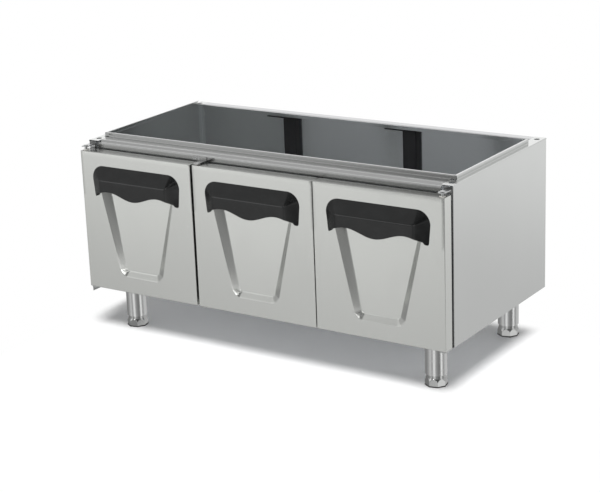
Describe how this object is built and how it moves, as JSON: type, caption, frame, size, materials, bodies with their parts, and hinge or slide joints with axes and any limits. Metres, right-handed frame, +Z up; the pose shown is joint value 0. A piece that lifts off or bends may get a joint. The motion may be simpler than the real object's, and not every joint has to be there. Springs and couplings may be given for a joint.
{
  "type": "appliance base cabinet",
  "caption": "Low open-topped base cabinet in folded stainless sheet, with pivot-hung doors, moulded wave-edged hood handles and adjustable round legs.",
  "frame": {"origin": "centre of the bounding box on the floor under the feet", "axes": "+X along the width towards the right as seen from the front, +Y from the doors towards the back, +Z up"},
  "size_m": [1.2, 0.6212, 0.592],
  "materials": {
    "stainless_satin": "satin-brushed stainless sheet",
    "stainless_inside": "plain mill-finish stainless sheet, seen in the shade",
    "dark_coated_steel": "dark coated steel channel",
    "polished_steel": "polished stainless tube and casting",
    "zinc_steel": "bright zinc-plated steel",
    "black_moulding": "black moulding with a fine satin texture",
    "black_insert": "black moulded nylon",
    "nylon": "off-white moulded nylon",
    "rubber_pad": "black rubber"
  },
  "bodies": {
    "carcass": {"side_panel_left": "stainless_satin", "side_panel_right": "stainless_satin", "back_panel": "stainless_inside", "floor_panel": "stainless_inside", "front_top_rail": "stainless_satin", "front_bottom_rail": "stainless_satin", "mullion_left": "stainless_satin", "mullion_right": "stainless_satin", "back_post_left": "dark_coated_steel", "back_post_right": "dark_coated_steel", "back_rivets": "zinc_steel", "hinge_bracket_top_left": "zinc_steel", "hinge_bracket_top_middle": "zinc_steel", "hinge_bracket_top_right": "zinc_steel", "hinge_bracket_bottom_left": "zinc_steel", "hinge_bracket_bottom_middle": "zinc_steel", "hinge_bracket_bottom_right": "zinc_steel", "hinge_pins": "zinc_steel", "hinge_screws": "zinc_steel", "catch_left": "nylon", "catch_middle": "nylon", "catch_right": "nylon", "catch_screws": "zinc_steel", "leg_plate_front_left": "zinc_steel", "leg_plate_front_right": "zinc_steel", "leg_plate_back_left": "zinc_steel", "leg_plate_back_right": "zinc_steel", "leg_tube_front_left": "polished_steel", "leg_tube_front_right": "polished_steel", "leg_tube_back_left": "polished_steel", "leg_tube_back_right": "polished_steel", "leg_inserts": "black_insert", "leg_bolts": "zinc_steel"},
    "door_left": {"door_left_skin": "stainless_satin", "door_left_liner": "stainless_satin", "door_left_handle": "black_moulding", "door_left_handle_screws": "zinc_steel", "door_left_bushes": "nylon", "door_left_strike": "zinc_steel"},
    "door_middle": {"door_middle_skin": "stainless_satin", "door_middle_liner": "stainless_satin", "door_middle_handle": "black_moulding", "door_middle_handle_screws": "zinc_steel", "door_middle_bushes": "nylon", "door_middle_strike": "zinc_steel"},
    "door_right": {"door_right_skin": "stainless_satin", "door_right_liner": "stainless_satin", "door_right_handle": "black_moulding", "door_right_handle_screws": "zinc_steel", "door_right_bushes": "nylon", "door_right_strike": "zinc_steel"},
    "foot_front_left": {"foot_front_left": "polished_steel", "pad_front_left": "rubber_pad"},
    "foot_front_right": {"foot_front_right": "polished_steel", "pad_front_right": "rubber_pad"},
    "foot_back_left": {"foot_back_left": "polished_steel", "pad_back_left": "rubber_pad"},
    "foot_back_right": {"foot_back_right": "polished_steel", "pad_back_right": "rubber_pad"}
  },
  "joints": [
    {"name": "door_left_hinge", "type": "hinge", "parent": "carcass", "child": "door_left", "pos_m": [-0.5865, -0.2786, 0.35], "axis": [0, 0, -1], "range_deg": [0, 180]},
    {"name": "door_middle_hinge", "type": "hinge", "parent": "carcass", "child": "door_middle", "pos_m": [-0.1835, -0.2786, 0.35], "axis": [0, 0, -1], "range_deg": [0, 100]},
    {"name": "door_right_hinge", "type": "hinge", "parent": "carcass", "child": "door_right", "pos_m": [0.5865, -0.2786, 0.35], "axis": [0, 0, 1], "range_deg": [0, 180]},
    {"name": "foot_front_left_height", "type": "slide", "parent": "carcass", "child": "foot_front_left", "axis": [0, 0, -1], "range_m": [0, 0.025]},
    {"name": "foot_front_right_height", "type": "slide", "parent": "carcass", "child": "foot_front_right", "axis": [0, 0, -1], "range_m": [0, 0.025]},
    {"name": "foot_back_left_height", "type": "slide", "parent": "carcass", "child": "foot_back_left", "axis": [0, 0, -1], "range_m": [0, 0.025]},
    {"name": "foot_back_right_height", "type": "slide", "parent": "carcass", "child": "foot_back_right", "axis": [0, 0, -1], "range_m": [0, 0.025]}
  ]
}
